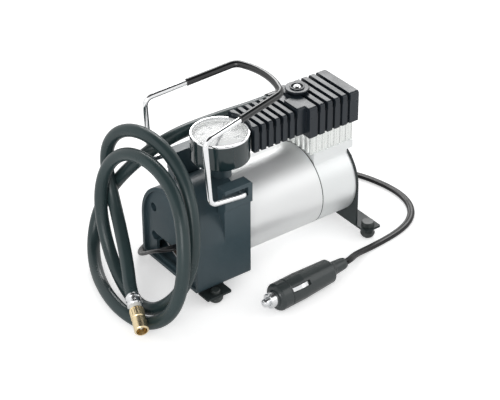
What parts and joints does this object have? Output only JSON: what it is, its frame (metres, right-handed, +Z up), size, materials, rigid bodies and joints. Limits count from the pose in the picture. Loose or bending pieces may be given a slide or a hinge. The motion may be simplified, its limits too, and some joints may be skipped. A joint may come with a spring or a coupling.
{
  "type": "portable tire inflator",
  "caption": "Portable 12 volt car tire inflator: tube motor, fluted cylinder under a ribbed cover, pressure gauge, wire handle, air hose with screw-on chuck, and power cord with car plug.",
  "frame": {"origin": "on the floor, at the middle of the body's length and width (hose, cord and plug left out)", "axes": "+X along the motor axis, from the gauge end towards the cylinder end; +Y away from the side the picture shows; +Z up"},
  "size_m": [0.2715, 0.1539, 0.1465],
  "materials": {
    "silver_paint": "satin silver paint on steel",
    "cast_aluminium": "satin casting",
    "bright_aluminium": "satin, fluted",
    "steel": "turned",
    "dark_steel": "oiled",
    "ferrite": "matt, moulded ferrite",
    "black_steel": "satin black paint",
    "chrome": "bright plate",
    "brass": "turned",
    "copper": "enamelled copper wire and copper bars",
    "carbon": "carbon brush, matt",
    "board": "brown laminate",
    "ptfe": "waxy",
    "slate_plastic": "fine grain, slate black",
    "charcoal_plastic": "satin, charcoal",
    "black_plastic": "gloss black",
    "black_rubber": "matt black",
    "grip_rubber": "smooth, glossy black",
    "hose_rubber": "dark grey-green, satin",
    "cord_pvc": "soft PVC, satin black",
    "white_dial": "flat white",
    "red_needle": "red",
    "red_switch": "red",
    "clear_lens": "clear",
    "nickel": "nickel plate"
  },
  "bodies": {
    "base": {"motor_tube": "silver_paint", "field_magnets": "ferrite", "brush_plate": "board", "brushes": "carbon", "rear_bush": "brass", "front_bearing": "steel", "crankcase": "cast_aluminium", "cylinder_block": "bright_aluminium", "valve_plate": "steel", "valve_reeds": "dark_steel", "cylinder_head": "cast_aluminium", "head_screws": "steel", "ribbed_cover": "charcoal_plastic", "cover_washer": "charcoal_plastic", "cover_screw": "chrome", "air_pipe": "steel", "outlet_elbow": "black_plastic", "end_housing": "slate_plastic", "gauge_case": "black_plastic", "gauge_bezel": "chrome", "gauge_dial": "white_dial", "gauge_movement": "brass", "gauge_lens": "clear_lens", "handle_wire": "chrome", "grip_sleeve": "grip_rubber", "switch_frame": "black_plastic", "cord_grommet": "black_rubber", "rear_bracket": "black_steel", "bracket_screws": "steel", "front_bracket": "black_steel", "rear_feet": "black_rubber", "front_feet": "black_rubber", "air_hose": "hose_rubber", "hose_ferrule": "nickel", "chuck_stem": "ptfe", "power_cord": "cord_pvc", "plug_boot": "black_rubber", "plug_body": "black_plastic", "plug_nose": "black_plastic", "plug_collar": "nickel", "plug_fuse": "clear_lens"},
    "rotor": {"motor_shaft": "steel", "armature_core": "steel", "armature_windings": "copper", "commutator": "copper", "crank_disc": "dark_steel", "crank_grub_screw": "dark_steel"},
    "piston": {"connecting_rod": "cast_aluminium", "rod_bearing": "steel", "crank_pin": "dark_steel", "piston_seal": "ptfe", "seal_retainer": "cast_aluminium", "retainer_screw": "dark_steel"},
    "needle": {"gauge_needle": "red_needle"},
    "rocker": {"switch_rocker": "red_switch"},
    "tip": {"plug_tip": "nickel"},
    "contact_near": {"plug_contact_near": "nickel"},
    "contact_far": {"plug_contact_far": "nickel"},
    "chuck": {"chuck_nut": "brass"}
  },
  "joints": [
    {"name": "rotor_spin", "type": "hinge", "parent": "base", "child": "rotor", "pos_m": [0, 0, 0.0425], "axis": [1, 0, 0], "continuous": true},
    {"name": "piston_stroke", "type": "slide", "parent": "base", "child": "piston", "axis": [0, 0, 1], "range_m": [-0.014, 0]},
    {"name": "gauge_sweep", "type": "hinge", "parent": "base", "child": "needle", "pos_m": [-0.03445, 0, 0.1069], "axis": [0, 0, -1], "range_deg": [0, 270], "stiffness_Nm_per_rad": 0.0001},
    {"name": "switch_rock", "type": "hinge", "parent": "base", "child": "rocker", "pos_m": [-0.05265, 0.0346, 0.0187], "axis": [0, 0, 1], "range_deg": [0, 24]},
    {"name": "tip_press", "type": "slide", "parent": "base", "child": "tip", "axis": [0.9977, 0.0675, 0], "range_m": [0, 0.003], "stiffness_N_per_m": 1500},
    {"name": "near_contact_press", "type": "slide", "parent": "base", "child": "contact_near", "axis": [-0.0532, 0.7862, -0.6157], "range_m": [0, 0.001], "stiffness_N_per_m": 2000},
    {"name": "far_contact_press", "type": "slide", "parent": "base", "child": "contact_far", "axis": [0.0532, -0.7862, 0.6157], "range_m": [0, 0.001], "stiffness_N_per_m": 2000},
    {"name": "chuck_spin", "type": "hinge", "parent": "base", "child": "chuck", "pos_m": [-0.125, -0.02, 0.0185], "axis": [-0.3678, -0.9028, -0.2229], "continuous": true}
  ]
}
